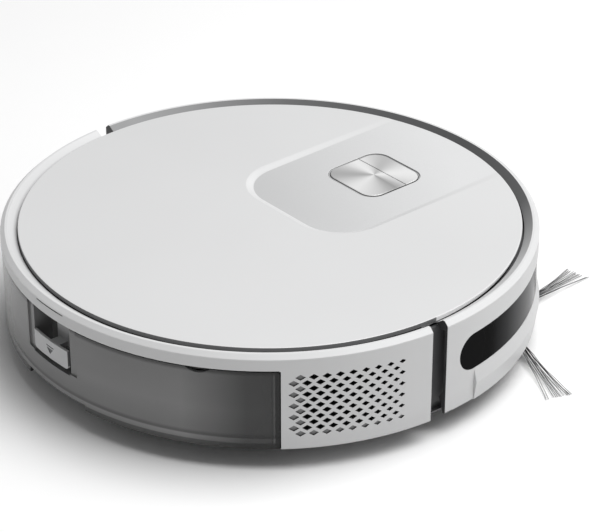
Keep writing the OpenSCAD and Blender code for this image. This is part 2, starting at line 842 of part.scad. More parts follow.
module bin_shell() {
    color([0.35, 0.35, 0.36, 0.6]) difference() {
        union() {
            difference() {
                translate([0, 0, bin_bottom]) linear_extrude(bin_top - bin_bottom) bin_plan(0);
                translate([0, 0, bin_floor + 2]) linear_extrude(60) bin_plan(bin_t);
                // hollow below the floor, inside the skirt
                translate([0, 0, bin_bottom - 1]) linear_extrude(bin_floor - bin_bottom + 1)
                    bin_plan(bin_t);
            }
            // walls of the finger pocket
            intersection() {
                translate([0, 0, pocket_floor - 2]) linear_extrude(bin_top - pocket_floor + 1.7)
                    bin_plan(0.5);
                sweep(latch_bearing - pocket_half - 0.8, latch_bearing + pocket_half + 0.8)
                    translate([pocket_r - 2, 0]) square([20, bin_top]);
            }
            // ears for the flap's pins
            for (x = [-62, 59]) box([x, -79.5, 35.4], [x + 3, bin_front - 1, 41.5]);
            // runners under the floor
            for (x = [-70, 68]) box([x, -140, base_top + 0.4], [x + 2, -74, bin_floor + 0.5]);
        }
        // finger pocket, in a shallow step
        sweep(latch_bearing - pocket_half, latch_bearing + pocket_half)
            translate([pocket_r, pocket_floor]) square([20, 40]);
        sweep(latch_bearing - step_half, latch_bearing + step_half)
            translate([bin_r - 1.1, pocket_floor + 1]) square([5, 40]);
        // notch in the lower edge below the latch
        place(158, 180, bin_bottom - 1) translate([-27.5, -10, 0]) cube([55, 20, 4.9]);
        // scoop in the upper edge, for a fingertip
        place(154, 143.7, bin_top + 7.4) rotate([-90, 0, 0]) cylinder(r = 10.2, h = 10);
        // inlet, fan outlet and pin holes
        box([-57, bin_front - 4, 22.5], [57, bin_front + 1, 36]);
        box([16, bin_front - 4, 47], [57, bin_front + 1, 60]);
        bar_x(-63, 63, 1 + running, -76.8, 38.5);
    }
}

module bin_lid() {
    color([0.3, 0.3, 0.31, 0.8]) difference() {
        translate([0, 0, bin_top - 2.2]) linear_extrude(1.8) bin_plan(bin_t + 0.3);
        sweep(latch_bearing - pocket_half - 1.2, latch_bearing + pocket_half + 1.2)
            translate([pocket_r - 2.4, bin_top - 8]) square([20, 20]);
    }
}

module filter_frame() {
    color([0.85, 0.85, 0.86]) difference() {
        box([9, -84, 42.5], [59, bin_front - bin_t - 0.1, 61.5]);
        box([12, -85, 45], [56, bin_front + 1, 59.5]);
    }
}

module filter_pleats() {
    pleats = 14;
    step = 44 / pleats;
    color([0.95, 0.95, 0.92]) translate([12, 0, 45]) linear_extrude(14.5) polygon(concat(
        [for (i = [0:pleats - 1]) each [[i * step, -76], [(i + 0.5) * step, -79.5]]],
        [[44, -76]],
        [for (i = [pleats - 1:-1:0]) each [[(i + 1) * step, -77.2], [(i + 0.5) * step, -80.9]]],
        [[0, -77.2]]
    ));
}

module filter_mesh() {
    color([0.25, 0.25, 0.26]) difference() {
        box([12, -83, 45], [56, -82.2, 59.5]);
        for (i = [0:9], j = [0:2])
            box([14.2 + i * 4.1, -84, 47 + j * 4.3], [17 + i * 4.1, -81, 50 + j * 4.3]);
    }
}

// outline of the latch tab, with rounded lower corners; its -Y is up
module latch_plan() {
    half = bin_r * sin(latch_half);
    r = 2;
    translate([-half, -latch_top]) square([2 * half, latch_top - latch_foot - r]);
    translate([-half + r, -latch_foot - 2 * r]) square([2 * (half - r), 2 * r]);
    for (s = [-1, 1]) translate([s * (half - r), -latch_foot - r]) circle(r = r);
}

module bin_latch() {
    color([0.66, 0.66, 0.67]) {
        difference() {
            intersection() {
                translate([0, 0, 30]) difference() {
                    cylinder(r = bin_r, h = 30);
                    translate([0, 0, -1]) cylinder(r = bin_r - 1.6, h = 32);
                }
                place(bin_r - 8, latch_bearing, 0) rotate([-90, 0, 0]) linear_extrude(12)
                    latch_plan();
            }
            // pictogram: a bar over a triangle that points down
            place(bin_r - 0.4, latch_bearing, 0) rotate([-90, 0, 0]) linear_extrude(3) {
                translate([-3.6, -45.2]) square([7.2, 0.7]);
                polygon([[-3.2, -43.6], [3.2, -43.6], [0, -40]]);
            }
        }
        // lug that rests on the spring, and the stem behind the tab
        place(0, latch_bearing, 0) translate([-4, pocket_r + 1, 43.5])
            cube([8, bin_r - 1 - pocket_r - 1, 3]);
        place(0, latch_bearing, 0) translate([-6, pocket_r + 0.6, 43.5])
            cube([12, 1.6, bin_top - 0.4 - 43.5]);
    }
}

module latch_spring() {
    color([0.7, 0.7, 0.72]) place(pocket_r + 3.3, latch_bearing, pocket_floor)
        coil(10, 2, 0.5, 6);
}

module inlet_flap() {
    color([0.2, 0.2, 0.21]) {
        box([-56, -76.6, 23], [56, -75.2, 38.5]);
        bar_x(-57, 57, 1.6, -76.8, 38.5);
        bar_x(-61.5, 61.5, 1, -76.8, 38.5);
    }
}

// ---------- side brushes ----------

module side_brush_hub(side) {
    color([0.2, 0.2, 0.21]) translate([side * side_brush_x, side_brush_y, 0]) {
        translate([0, 0, 5]) cylinder(r = 11, h = 4.2);
        translate([0, 0, 8]) cylinder(r = 3, h = 6.2);
        for (i = [0:2]) rotate(side_brush_angle(side) + i * 120)
            translate([8, -3, 5]) cube([12, 6, 3.4]);
    }
}

side_brush_angle = function(side) side > 0 ? -20 : 200;

// three flat fans of bristle that droop from the hub to the floor
module side_bristles(side) {
    color([0.25, 0.25, 0.26]) translate([side * side_brush_x, side_brush_y, 0])
        for (i = [0:2]) rotate(side_brush_angle(side) + i * 120) polyhedron(
            points = [
                [20, -2, 6], [20, 2, 6], [20, 2, 7.4], [20, -2, 7.4],
                [side_brush_r, -8, 0.4], [side_brush_r, 8, 0.4],
                [side_brush_r, 8, 1.2], [side_brush_r, -8, 1.2],
            ],
            faces = [[0, 1, 2, 3], [7, 6, 5, 4], [0, 4, 5, 1], [1, 5, 6, 2], [2, 6, 7, 3], [3, 7, 4, 0]]
        );
}

module side_brush_hub_left() {
    side_brush_hub(-1);
}

module side_brush_hub_right() {
    side_brush_hub(1);
}

module side_bristles_left() {
    side_bristles(-1);
}

module side_bristles_right() {
    side_bristles(1);
}

base_chassis();
upper_casing();
lid_panel();
control_bezel();
key_board();
main_board();
battery_pack();
battery_cover();
base_screws();
fan_housing();
fan_motor();
brush_gearbox();
brush_motor();
side_motor_left();
side_motor_right();
brush_guard();
roller_bearing();
caster_socket();
cliff_lenses();
charging_contacts();
wheel_housing_left();
wheel_housing_right();
bumper_switches();
bumper_spring_left();
bumper_spring_right();
sensor_board();
exhaust_screens();
bumper_shell();
sensor_window();
start_key();
home_key();
bin_shell();
bin_lid();
filter_frame();
filter_pleats();
filter_mesh();
latch_spring();
bin_latch();
inlet_flap();
wheel_arm_left();
wheel_arm_right();
wheel_hub_left();
wheel_hub_right();
wheel_tyre_left();
wheel_tyre_right();
suspension_spring_left();
suspension_spring_right();
roller_core();
roller_bristles();
roller_blades();
roller_gear();
idler_gear();
motor_pinion();
side_brush_hub_left();
side_brush_hub_right();
side_bristles_left();
side_bristles_right();
caster_fork();
caster_wheel();
impeller();
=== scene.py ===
"""Robot vacuum cleaner: materials, fine geometry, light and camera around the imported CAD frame.

The robot's lengths are written in millimetres and turned into metres by mm(). +Z is up from the
floor, +Y is the robot's front and +X its right.
"""

import json
import math
import random

import bmesh
import bpy
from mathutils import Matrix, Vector
from mathutils.geometry import delaunay_2d_cdt

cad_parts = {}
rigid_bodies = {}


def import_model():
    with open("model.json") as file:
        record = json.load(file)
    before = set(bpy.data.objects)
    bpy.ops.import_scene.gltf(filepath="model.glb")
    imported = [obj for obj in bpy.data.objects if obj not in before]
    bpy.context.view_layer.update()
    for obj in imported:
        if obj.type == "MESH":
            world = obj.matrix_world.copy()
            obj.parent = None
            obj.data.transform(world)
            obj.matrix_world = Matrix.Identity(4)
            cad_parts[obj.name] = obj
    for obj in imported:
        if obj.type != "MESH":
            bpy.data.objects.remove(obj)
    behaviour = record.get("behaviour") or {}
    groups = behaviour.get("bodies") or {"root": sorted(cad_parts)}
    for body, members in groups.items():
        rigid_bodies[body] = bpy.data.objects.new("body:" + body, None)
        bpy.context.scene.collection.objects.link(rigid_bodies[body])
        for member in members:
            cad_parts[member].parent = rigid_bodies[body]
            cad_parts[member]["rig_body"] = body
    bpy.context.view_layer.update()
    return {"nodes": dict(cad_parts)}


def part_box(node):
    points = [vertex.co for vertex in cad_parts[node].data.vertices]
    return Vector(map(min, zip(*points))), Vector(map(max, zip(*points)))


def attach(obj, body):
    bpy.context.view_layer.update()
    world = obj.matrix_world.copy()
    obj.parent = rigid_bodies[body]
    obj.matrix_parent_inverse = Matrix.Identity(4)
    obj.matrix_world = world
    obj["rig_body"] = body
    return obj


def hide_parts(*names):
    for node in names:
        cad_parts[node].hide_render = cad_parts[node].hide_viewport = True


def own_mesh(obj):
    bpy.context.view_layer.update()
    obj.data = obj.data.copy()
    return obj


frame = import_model()
NODES = frame["nodes"]


def mm(*v):
    """Millimetres to metres: one number, or several as a Vector."""
    return v[0] * 0.001 if len(v) == 1 else Vector(v) * 0.001


def grey(value):
    """A colour with no hue."""
    return (value, value, value)


BODY_R = 162.5                       # the body's radius, in mm
KEYS_Y = mm(84)                      # centre of the two keys
TURN = 2 * math.pi


# ---------------------------------------------------------------- camera, light, floor

camera = bpy.data.objects.new("camera", bpy.data.cameras.new("camera"))
bpy.context.scene.collection.objects.link(camera)
camera.data.lens = 142.4
camera.data.sensor_width = 36.0
camera.data.clip_end = 20.0
camera.location = mm(976, -795, 765)
aim = mm(13.4, 12.3, 40.4) - camera.location
camera.rotation_euler = aim.to_track_quat("-Z", "Y").to_euler()
bpy.context.scene.camera = camera


def area_light(name, spot, target, size, power):
    """A soft rectangular light at spot that looks at target, all in metres."""
    light = bpy.data.lights.new(name, "AREA")
    light.shape = "RECTANGLE"
    light.size, light.size_y = size
    light.energy = power
    lamp = bpy.data.objects.new(name, light)
    lamp.location = Vector(spot)
    lamp.rotation_euler = (Vector(target) - Vector(spot)).to_track_quat("-Z", "Y").to_euler()
    bpy.context.scene.collection.objects.link(lamp)


area_light("key", (0.5, 0.55, 2.0), (0, 0, 0), (1.8, 1.8), 50)
area_light("right", (1.3, 1.2, 1.0), (0, 0, 0.05), (1.2, 0.9), 2)

world = bpy.data.worlds.new("studio")
bpy.context.scene.world = world
world.use_nodes = True
background = world.node_tree.nodes["Background"]
background.inputs["Color"].default_value = (1, 1, 1, 1)
background.inputs["Strength"].default_value = 0.25
bpy.context.scene.view_settings.view_transform = "Standard"


# ---------------------------------------------------------------- materials

class Nodes:
    """A new material with short ways to add and join shader nodes."""

    def __init__(self, name):
        self.mat = bpy.data.materials.new(name)
        self.mat.use_nodes = True
        self.tree = self.mat.node_tree
        self.bsdf = self.tree.nodes["Principled BSDF"]
        self.coord = self.tree.nodes.new("ShaderNodeTexCoord").outputs["Object"]

    def add(self, kind, **inputs):
        """A shader node with its inputs set to values or joined to sockets."""
        node = self.tree.nodes.new("ShaderNode" + kind)
        for key, value in inputs.items():
            key = key.replace("_", " ")
            if hasattr(value, "is_output"):
                self.tree.links.new(value, node.inputs[key])
            else:
                node.inputs[key].default_value = value
        return node

    def set(self, **values):
        """Constants on the shader itself."""
        for key, value in values.items():
            self.bsdf.inputs[key.replace("_", " ")].default_value = value

    def link(self, out, key):
        """Joins a socket to one of the shader's inputs."""
        self.tree.links.new(out, self.bsdf.inputs[key])

    def noise(self, scale, detail=3.0, rough=0.55, vector=None):
        """Soft noise between 0 and 1, over the object's own coordinates unless told otherwise."""
        node = self.add("TexNoise", Vector=vector or self.coord, Scale=scale, Detail=detail,
                        Roughness=rough)
        return node.outputs["Fac"]

    def ramp(self, factor, stops, interpolation="LINEAR"):
        """Colours that follow factor; stops are pairs of a place from 0 to 1 and a colour."""
        node = self.add("ValToRGB", Fac=factor)
        ramp = node.color_ramp
        ramp.interpolation = interpolation
        while len(ramp.elements) < len(stops):
            ramp.elements.new(0.5)
        for element, (place, colour) in zip(ramp.elements, stops):
            element.position = place
            element.color = (*colour, 1)
        return node.outputs["Color"]

    def mix(self, factor, a, b, blend):
        """Two colours blended; each may be a socket or a constant."""
        node = self.tree.nodes.new("ShaderNodeMix")
        node.data_type = "RGBA"
        node.blend_type = blend
        for socket, value in ((node.inputs[0], factor), (node.inputs[6], a), (node.inputs[7], b)):
            if hasattr(value, "is_output"):
                self.tree.links.new(value, socket)
            else:
                socket.default_value = (*value, 1) if isinstance(value, tuple) else value
        return node.outputs[2]

    def math(self, operation, a, b=0.0):
        """Arithmetic on sockets or constants."""
        node = self.tree.nodes.new("ShaderNodeMath")
        node.operation = operation
        for socket, value in zip(node.inputs, (a, b)):
            if hasattr(value, "is_output"):
                self.tree.links.new(value, socket)
            else:
                socket.default_value = value
        return node.outputs[0]

    def bump(self, height, strength, distance):
        """A normal tilted by the slopes of height."""
        node = self.add("Bump", Height=height, Strength=strength, Distance=distance)
        return node.outputs["Normal"]

    def bearing(self):
        """The bearing round the body in turns, -0.5 to 0.5, clockwise from the front."""
        xyz = self.add("SeparateXYZ", Vector=self.coord)
        angle = self.math("ARCTAN2", xyz.outputs["X"], xyz.outputs["Y"])
        return self.math("DIVIDE", angle, TURN)

    def height(self, low, high):
        """Height above the floor, low to high in mm spread over 0 to 1."""
        z = self.add("SeparateXYZ", Vector=self.coord).outputs["Z"]
        return self.add("MapRange", Value=z, From_Min=mm(low), From_Max=mm(high)).outputs["Result"]

    def span(self, factor, low, high):
        """factor's 0.3 to 0.7 spread over low to high."""
        node = self.add("MapRange", Value=factor, From_Min=0.3, From_Max=0.7, To_Min=low, To_Max=high)
        return node.outputs["Result"]


GLOSS_DRIFT = 0.03                   # how much a plastic's roughness wanders to each side


def plastic(name, colour, rough, grain=900.0, depth=0.1, drift=0.05, coat=0.0):
    """Moulded plastic: slow drift of tone and gloss, and the fine grain of the tool's surface."""
    m = Nodes(name)
    light = tuple(min(1.0, c * (1 + drift)) for c in colour)
    dark = tuple(c * (1 - drift) for c in colour)
    m.link(m.ramp(m.noise(14.0), [(0.3, dark), (0.7, light)]), "Base Color")
    m.link(m.span(m.noise(60.0, 4.0), rough - GLOSS_DRIFT, rough + GLOSS_DRIFT), "Roughness")
    m.link(m.bump(m.noise(grain * 2.0, 2.0), depth, 0.0001), "Normal")
    m.set(Coat_Weight=coat, Coat_Roughness=0.08)
    return m.mat


def metal(name, colour, rough, streak=(40.0, 900.0, 900.0), depth=0.06):
    """Drawn or plated metal with streaks along one direction."""
    m = Nodes(name)
    mapping = m.add("Mapping", Vector=m.coord, Scale=streak)
    lines = m.noise(1.0, 3.0, vector=mapping.outputs["Vector"])
    m.link(m.ramp(lines, [(0.3, tuple(c * 0.86 for c in colour)), (0.7, colour)]), "Base Color")
    m.link(m.span(lines, rough - 0.07, rough + 0.09), "Roughness")
    m.link(m.bump(lines, depth, 0.0001), "Normal")
    m.set(Metallic=1.0)
    return m.mat


def casing_material():
    """White ABS with a very fine spark-eroded grain, and painted light: brighter on the rim, darker
    down the walls.
    """
    m = Nodes("white_abs")
    drift = m.ramp(m.noise(14.0), [(0.3, (0.69, 0.692, 0.695)), (0.7, (0.71, 0.712, 0.715))])
    # painted light and shade: the rim above 73 mm is brighter, the walls darker, and darkest low down
    painted_rim_light = m.ramp(m.height(14, 76), [(0.0, grey(0.78)), (0.2, grey(0.83)),
                                       (0.945, grey(0.84)), (0.955, grey(1.0))])
    m.link(m.mix(1.0, drift, painted_rim_light, "MULTIPLY"), "Base Color")
    m.link(m.span(m.noise(60.0, 4.0), 0.4, 0.45), "Roughness")
    m.link(m.bump(m.noise(2800.0, 2.0), 0.05, 0.0001), "Normal")
    return m.mat


def slope_shade_material():
    """Grey ring inside the rim, painted shade: darkest at the front, light towards its ends."""
    m = Nodes("ring_painted_shade")
    # painted shade: the ring's grey changes with the bearing, as the light on it does
    from_rear = m.math("ADD", m.bearing(), 0.5)
    tone = m.ramp(from_rear, [(0.27, (0.29, 0.292, 0.295)), (0.33, (0.19, 0.191, 0.193)),
                              (0.37, (0.13, 0.131, 0.133)), (0.5, (0.1, 0.101, 0.103)),
                              (0.59, (0.14, 0.141, 0.143)), (0.62, (0.27, 0.272, 0.274)),
                              (0.67, (0.55, 0.552, 0.555)), (0.72, (0.7, 0.702, 0.706))])
    m.link(tone, "Base Color")
    m.link(m.span(m.noise(60.0, 4.0), 0.42, 0.5), "Roughness")
    m.link(m.bump(m.noise(2600.0, 2.0), 0.06, 0.0001), "Normal")
    m.set(Specular_IOR_Level=0.3)
    return m.mat


def lid_material():
    """Back-painted clear panel: white under a glossy coat, with a painted highlight where it leans to
    the front.
    """
    m = Nodes("lid_gloss")
    paint_tone = m.ramp(m.noise(6.0, 2.0), [(0.3, (0.767, 0.769, 0.772)), (0.7, (0.789, 0.791, 0.794))])
    # painted highlight on faces that lean to the front
    normal = m.add("NewGeometry").outputs["Normal"]
    lean = m.add("SeparateXYZ", Vector=normal).outputs["Y"]
    painted_highlight = m.ramp(lean, [(0.0, grey(0.9)), (0.05, grey(0.9)), (0.3, grey(1.0))])
    m.link(m.mix(1.0, paint_tone, painted_highlight, "MULTIPLY"), "Base Color")
    m.link(m.span(m.noise(30.0), 0.3, 0.36), "Roughness")
    m.link(m.bump(m.noise(25.0, 1.0), 0.02, 0.0003), "Normal")
    m.set(Coat_Weight=0.35, Coat_Roughness=0.12)
    return m.mat


def recess_material():
    """The same panel, satin where it is sunk, with a painted reflection: darker towards its rear left
    corner.
    """
    m = Nodes("lid_recess")
    xyz = m.add("SeparateXYZ", Vector=m.coord)
    # painted reflection: the floor darkens towards the rear left and lightens towards the front
    along = m.math("ADD", xyz.outputs["Y"], m.math("MULTIPLY", xyz.outputs["X"], 0.45))
    place = m.add("MapRange", Value=along, From_Min=-0.01, From_Max=0.14).outputs["Result"]
    tone = m.ramp(place, [(0.0, (0.53, 0.532, 0.535)), (0.5, (0.63, 0.633, 0.636)),
                          (1.0, (0.72, 0.723, 0.727))])
    speck = m.ramp(m.noise(1800.0, 2.0), [(0.35, (0.96, 0.96, 0.96)), (0.65, (1, 1, 1))])
    m.link(m.mix(1.0, tone, speck, "MULTIPLY"), "Base Color")
    m.link(m.span(m.noise(40.0), 0.36, 0.42), "Roughness")
    m.link(m.bump(m.noise(2200.0, 2.0), 0.04, 0.00008), "Normal")
    m.set(Coat_Weight=0.15, Coat_Roughness=0.2)
    return m.mat


def spun_metal():
    """Keys turned on a lathe: fine rings, and a painted fan of highlight and shade for the light that
    they throw.
    """
    m = Nodes("spun_metal")
    local = m.add("VectorMath", Vector=m.coord)
    local.operation = "SUBTRACT"
    local.inputs[1].default_value = (0.0, KEYS_Y, 0.0)
    xyz = m.add("SeparateXYZ", Vector=local.outputs["Vector"])
    angle = m.math("ARCTAN2", xyz.outputs["Y"], xyz.outputs["X"])
    turn = m.math("FRACT", m.math("ADD", m.math("DIVIDE", angle, TURN), 1.0))
    # painted reflection: a fixed fan of highlights and shade round the keys' centre
    dull, mid, bright = grey(0.42), grey(0.72), grey(0.99)
    fan = m.ramp(turn, [(0.0, dull), (0.045, mid), (0.13, bright), (0.2, bright), (0.27, mid),
                        (0.34, grey(0.52)), (0.4, grey(0.78)), (0.455, bright), (0.5, bright),
                        (0.55, mid), (0.62, dull), (0.68, grey(0.6)), (0.77, bright),
                        (0.83, grey(0.9)), (0.91, mid), (0.975, dull)], "B_SPLINE")
    flat = m.add("VectorMath", Vector=local.outputs["Vector"])
    flat.operation = "MULTIPLY"
    flat.inputs[1].default_value = (1, 1, 0)
    radius = m.add("VectorMath", Vector=flat.outputs["Vector"])
    radius.operation = "LENGTH"
    rings = m.noise(5200.0, 2.0, vector=m.add("CombineXYZ", X=radius.outputs["Value"]).outputs[0])
    tone = m.ramp(rings, [(0.3, grey(0.93)), (0.7, grey(1))])
    m.link(m.mix(1.0, fan, tone, "MULTIPLY"), "Base Color")
    m.link(m.span(rings, 0.3, 0.42), "Roughness")
    m.link(m.bump(rings, 0.08, 0.00005), "Normal")
    m.set(Metallic=0.3)
    return m.mat


def smoky(name, alpha, tone=1.0):
    """Smoked clear plastic with faint flow lines, darker towards its ends, its foot and its top.

    The narrow bands at its ends and its foot are the wall's thickness and the lip under it.
    """
    m = Nodes(name)
    mapping = m.add("Mapping", Vector=m.coord, Scale=(6.0, 6.0, 30.0))
    flow = m.noise(1.0, 2.0, vector=mapping.outputs["Vector"])
    low, high = grey(0.21 * tone), grey(0.24 * tone)
    side = m.math("ABSOLUTE", m.add("SeparateXYZ", Vector=m.coord).outputs["X"])
    end = m.add("MapRange", Value=side, From_Min=mm(88), From_Max=mm(128.6)).outputs["Result"]
    shade = m.ramp(end, [
        (0.0, grey(1)), (0.4, grey(0.6)), (0.7, grey(0.26)), (0.925, grey(0.22)),
        (0.935, grey(0.12)), (0.955, grey(0.4)), (0.965, grey(0.06))])
    bands = m.ramp(m.height(14, 66), [
        (0.0, grey(0.25)), (0.075, grey(0.4)), (0.085, grey(0.95)), (0.135, grey(1.15)),
        (0.145, grey(0.55)), (0.165, grey(0.5)), (0.2, grey(0.85)), (0.5, grey(1.0)),
        (0.93, grey(0.9)), (0.965, grey(0.35))])
    shaded = m.mix(1.0, m.ramp(flow, [(0.3, low), (0.7, high)]), shade, "MULTIPLY")
    m.link(m.mix(1.0, shaded, bands, "MULTIPLY"), "Base Color")
    m.link(m.span(m.noise(80.0), 0.16, 0.24), "Roughness")
    m.link(m.bump(m.noise(400.0, 2.0), 0.015, 0.0001), "Normal")
    m.set(Alpha=alpha, Coat_Weight=0.04, Coat_Roughness=0.1, Specular_IOR_Level=0.3)
    return m.mat


def window_material():
    """Infrared window: black and glossy, greyer towards the front where the board shows through."""
    m = Nodes("ir_window")
    aside = m.math("ABSOLUTE", m.bearing())
    tone = m.ramp(aside, [(0.0, (0.1, 0.1, 0.102)), (0.14, (0.2, 0.2, 0.202)),
                          (0.174, (0.11, 0.11, 0.112)), (0.2, (0.025, 0.025, 0.026)),
                          (0.216, (0.001, 0.001, 0.0011)), (0.24, (0.007, 0.007, 0.0073))])
    cloud = m.ramp(m.noise(20.0), [(0.3, grey(0.9)), (0.7, grey(1))])
    m.link(m.mix(1.0, tone, cloud, "MULTIPLY"), "Base Color")
    m.link(m.span(m.noise(70.0), 0.1, 0.16), "Roughness")
    m.link(m.bump(m.noise(300.0, 2.0), 0.01, 0.0001), "Normal")
    m.set(Specular_IOR_Level=0.1, IOR=1.15)
    return m.mat


def woven(name, colour, pitch):
    """A fine mesh or foam: small dark cells in a lighter web."""
    m = Nodes(name)
    cells = m.add("TexVoronoi", Vector=m.coord, Scale=1000.0 / pitch).outputs["Distance"]
    m.link(m.ramp(cells, [(0.1, tuple(c * 0.25 for c in colour)), (0.6, colour)]), "Base Color")
    m.link(m.span(m.noise(200.0), 0.75, 0.95), "Roughness")
    m.link(m.bump(cells, 0.5, 0.0004), "Normal")
    return m.mat


def tyre_material():
    """Matt black rubber, greyed by dust in patches."""
    m = Nodes("tyre_rubber")
    dust = m.noise(45.0, 4.0)
    m.link(m.ramp(dust, [(0.35, (0.016, 0.016, 0.017)), (0.75, (0.034, 0.033, 0.032))]),
           "Base Color")
    m.link(m.span(dust, 0.62, 0.82), "Roughness")
    m.link(m.bump(m.noise(1500.0, 3.0), 0.25, 0.0001), "Normal")
    return m.mat


def board_material():
    """Solder mask over copper tracks."""
    m = Nodes("circuit_board")
    mask = m.ramp(m.noise(30.0), [(0.3, (0.012, 0.07, 0.035)), (0.7, (0.02, 0.1, 0.05))])
    tracks = m.add("TexBrick", Vector=m.coord, Scale=180.0).outputs["Color"]
    m.link(m.mix(0.25, mask, tracks, "SOFT_LIGHT"), "Base Color")
    m.link(m.span(m.noise(90.0), 0.25, 0.4), "Roughness")
    m.link(m.bump(m.noise(700.0, 2.0), 0.08, 0.0001), "Normal")
    m.set(Coat_Weight=0.4, Coat_Roughness=0.15)
    return m.mat


def wrap_material():
    """Shrink wrap on the battery: tight wrinkles and a soft sheen."""
    m = Nodes("battery_wrap")
    mapping = m.add("Mapping", Vector=m.coord, Scale=(20.0, 140.0, 140.0))
    wrinkle = m.noise(1.0, 4.0, vector=mapping.outputs["Vector"])
    m.link(m.ramp(wrinkle, [(0.3, (0.02, 0.07, 0.24)), (0.7, (0.035, 0.1, 0.32))]), "Base Color")
    m.link(m.span(wrinkle, 0.25, 0.45), "Roughness")
    m.link(m.bump(wrinkle, 0.3, 0.0004), "Normal")
    return m.mat


def paper_material():
    """Off-white filter paper with visible fibres."""
    m = Nodes("filter_paper")
    fibre = m.noise(900.0, 5.0, 0.7)
    m.link(m.ramp(fibre, [(0.3, (0.72, 0.71, 0.66)), (0.7, (0.86, 0.85, 0.81))]), "Base Color")
    m.link(m.span(fibre, 0.85, 0.98), "Roughness")
    m.link(m.bump(fibre, 0.4, 0.0001), "Normal")
    return m.mat


WHITE = casing_material()
SLOPE_SHADE = slope_shade_material()
LID = lid_material()
RECESS = recess_material()
# plastics: name, colour, roughness, scale and depth of the grain, drift of the tone
# painted shade inside the grille's slots, their blind floors and the sunk line
SLOT_SHADE = plastic("slot_shade", (0.012, 0.012, 0.012), 0.6, 900.0, 0.1, 0.1)
SLOT_FLOOR_SHADE = plastic("slot_floor_shade", (0.2, 0.201, 0.203), 0.5, 900.0, 0.1, 0.04)
PICTOGRAM = plastic("pictogram", (0.12, 0.121, 0.123), 0.5, 900.0, 0.1, 0.05)
LINING = plastic("bumper_lining", (0.3, 0.3, 0.302), 0.55, 900.0, 0.1, 0.05)
# painted shade for the gap at the lid's edge
LID_EDGE_SHADE = plastic("lid_edge_shade", (0.13, 0.131, 0.133), 0.4, 900.0, 0.06, 0.05)
SPUN = spun_metal()
BEZEL = plastic("bezel_grey", (0.42, 0.421, 0.424), 0.36, 1200.0, 0.04, 0.02)
# painted shade for the gap round the keys
KEY_GAP_SHADE = plastic("key_gap_shade", (0.008, 0.008, 0.008), 0.4, 900.0, 0.05, 0.1)
SMOKY = smoky("smoky_clear", 0.9)
SMOKY_LID = smoky("smoky_lid", 0.94, 0.8)
WINDOW = window_material()
LATCH = plastic("latch_grey", (0.48, 0.483, 0.487), 0.36, 1200.0, 0.05, 0.02)
DARK = plastic("dark_body", (0.11, 0.11, 0.113), 0.52, 650.0, 0.3, 0.12)
TRIM = plastic("dark_trim", (0.04, 0.04, 0.042), 0.46, 900.0, 0.2, 0.12)
HOUSING = plastic("housing_grey", (0.09, 0.09, 0.095), 0.5, 800.0, 0.2, 0.08)
SWITCH = plastic("switch_black", (0.02, 0.02, 0.02), 0.4, 900.0, 0.15, 0.1)
NYLON = plastic("gear_nylon", (0.72, 0.69, 0.58), 0.34, 1200.0, 0.08, 0.03)
FAN = plastic("fan_white", (0.68, 0.68, 0.69), 0.4, 1200.0, 0.06, 0.02)
FRAME_WHITE = plastic("filter_frame", (0.62, 0.62, 0.63), 0.5, 900.0, 0.12, 0.03)
HUB = plastic("wheel_hub", (0.055, 0.055, 0.058), 0.5, 700.0, 0.22, 0.1)
BLADE = plastic("rubber_blade", (0.05, 0.1, 0.17), 0.6, 900.0, 0.15, 0.06)
BRISTLE = plastic("bristle_nylon", (0.03, 0.03, 0.032), 0.42, 900.0, 0.1, 0.35)
LENS = plastic("cliff_lens", (0.012, 0.008, 0.014), 0.12, 400.0, 0.01, 0.1, coat=0.4)
STEEL = metal("zinc_steel", (0.6, 0.6, 0.61), 0.32)
CAN = metal("motor_can", (0.52, 0.52, 0.54), 0.3, (60.0, 900.0, 900.0))
GEARMOTOR = plastic("gearmotor_case", (0.035, 0.035, 0.037), 0.42, 800.0, 0.2, 0.1)
NICKEL = metal("nickel_contact", (0.74, 0.7, 0.62), 0.18, (900.0, 40.0, 900.0), 0.03)
BRASS = metal("turned_brass", (0.8, 0.6, 0.28), 0.25, (40.0, 900.0, 900.0))
MESH = woven("filter_mesh", (0.1, 0.1, 0.105), 0.5)
FOAM = woven("screen_foam", (0.012, 0.012, 0.013), 0.9)
TYRE = tyre_material()
BOARD = board_material()
WRAP = wrap_material()
PAPER = paper_material()

FINISH = {
    "base_chassis": DARK, "upper_casing": WHITE, "control_bezel": BEZEL, "key_board": BOARD,
    "main_board": BOARD, "battery_pack": WRAP, "battery_cover": TRIM, "base_screws": STEEL,
    "fan_housing": HOUSING, "fan_motor": CAN, "brush_gearbox": HOUSING, "brush_motor": CAN,
    "side_motor_left": GEARMOTOR, "side_motor_right": GEARMOTOR, "brush_guard": TRIM,
    "roller_bearing": TRIM, "caster_socket": TRIM, "cliff_lenses": LENS,
    "charging_contacts": NICKEL, "wheel_housing_left": DARK, "wheel_housing_right": DARK,
    "bumper_switches": SWITCH, "sensor_board": BOARD, "exhaust_screens": FOAM,
    "bumper_shell": WHITE, "sensor_window": WINDOW, "bin_shell": SMOKY, "bin_lid": SMOKY_LID,
    "filter_frame": FRAME_WHITE, "filter_pleats": PAPER, "filter_mesh": MESH,
    "bin_latch": LATCH, "inlet_flap": TRIM, "wheel_arm_left": GEARMOTOR,
    "wheel_arm_right": GEARMOTOR, "wheel_hub_left": HUB, "wheel_hub_right": HUB,
    "wheel_tyre_left": TYRE, "wheel_tyre_right": TYRE, "roller_core": HOUSING,
    "roller_gear": NYLON, "idler_gear": NYLON, "motor_pinion": BRASS,
    "side_brush_hub_left": TRIM, "side_brush_hub_right": TRIM, "caster_fork": TRIM,
    "caster_wheel": HOUSING, "impeller": FAN,
}


# ---------------------------------------------------------------- mesh helpers

